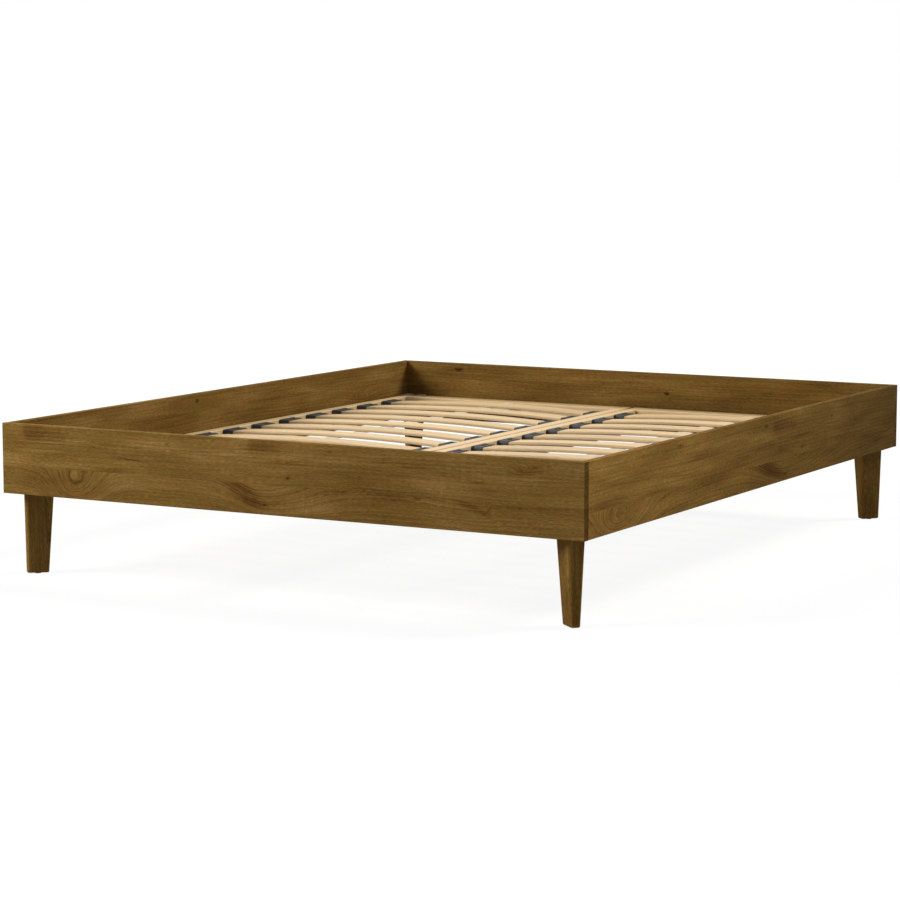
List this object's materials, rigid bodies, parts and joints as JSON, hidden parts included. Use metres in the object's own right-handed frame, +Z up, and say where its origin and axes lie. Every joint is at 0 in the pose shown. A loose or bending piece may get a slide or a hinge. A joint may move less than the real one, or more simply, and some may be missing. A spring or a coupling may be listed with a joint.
{
  "type": "bed frame",
  "caption": "Low double bed frame: flat oak boards on tapered corner legs, with corner brackets, ledges, a steel centre beam and sprung slatted bases that lift out.",
  "frame": {"origin": "on the floor under the middle of the bed", "axes": "+Y towards the head end, +Z up, +X towards the right-hand side as seen from the foot end"},
  "size_m": [1.65, 2.05, 0.39],
  "materials": {
    "oak_board": "oiled knotty oak, satin",
    "oak_leg": "oiled oak, satin",
    "zinc_sheet": "zinc-plated sheet",
    "zinc_fastener": "zinc-plated",
    "glide": "matt",
    "beech_dowel": "raw",
    "pine_ledge": "planed, raw",
    "painted_beam": "powder coat, fine texture",
    "birch_frame": "laminated birch, clear coat",
    "birch_slat": "laminated birch, clear coat",
    "slat_holder": "moulded, fine texture",
    "webbing": "woven tape"
  },
  "bodies": {
    "frame": {"foot_board": "oak_board", "head_board": "oak_board", "left_side_board": "oak_board", "right_side_board": "oak_board", "foot_left_leg": "oak_leg", "foot_right_leg": "oak_leg", "head_left_leg": "oak_leg", "head_right_leg": "oak_leg", "foot_left_bracket": "zinc_sheet", "foot_right_bracket": "zinc_sheet", "head_left_bracket": "zinc_sheet", "head_right_bracket": "zinc_sheet", "leg_glides": "glide", "frame_bolts": "zinc_fastener", "threaded_inserts": "zinc_fastener", "corner_dowels": "beech_dowel", "left_ledge": "pine_ledge", "right_ledge": "pine_ledge", "ledge_screws": "zinc_fastener", "centre_beam": "painted_beam", "head_beam_hanger": "zinc_sheet", "foot_beam_hanger": "zinc_sheet", "hanger_screws": "zinc_fastener"},
    "left_base": {"left_outer_stile": "birch_frame", "left_inner_stile": "birch_frame", "left_head_rail": "birch_frame", "left_foot_rail": "birch_frame", "left_slat_holders": "slat_holder", "left_webbing": "webbing", "left_slat_1": "birch_slat", "left_slat_2": "birch_slat", "left_slat_3": "birch_slat", "left_slat_4": "birch_slat", "left_slat_5": "birch_slat", "left_slat_6": "birch_slat", "left_slat_7": "birch_slat", "left_slat_8": "birch_slat", "left_slat_9": "birch_slat", "left_slat_10": "birch_slat", "left_slat_11": "birch_slat", "left_slat_12": "birch_slat"},
    "right_base": {"right_outer_stile": "birch_frame", "right_inner_stile": "birch_frame", "right_head_rail": "birch_frame", "right_foot_rail": "birch_frame", "right_slat_holders": "slat_holder", "right_webbing": "webbing", "right_slat_1": "birch_slat", "right_slat_2": "birch_slat", "right_slat_3": "birch_slat", "right_slat_4": "birch_slat", "right_slat_5": "birch_slat", "right_slat_6": "birch_slat", "right_slat_7": "birch_slat", "right_slat_8": "birch_slat", "right_slat_9": "birch_slat", "right_slat_10": "birch_slat", "right_slat_11": "birch_slat", "right_slat_12": "birch_slat"}
  },
  "joints": [
    {"name": "left_base_lift", "type": "slide", "parent": "frame", "child": "left_base", "axis": [0, 0, 1], "range_m": [0, 0.2]},
    {"name": "right_base_lift", "type": "slide", "parent": "frame", "child": "right_base", "axis": [0, 0, 1], "range_m": [0, 0.2]}
  ]
}
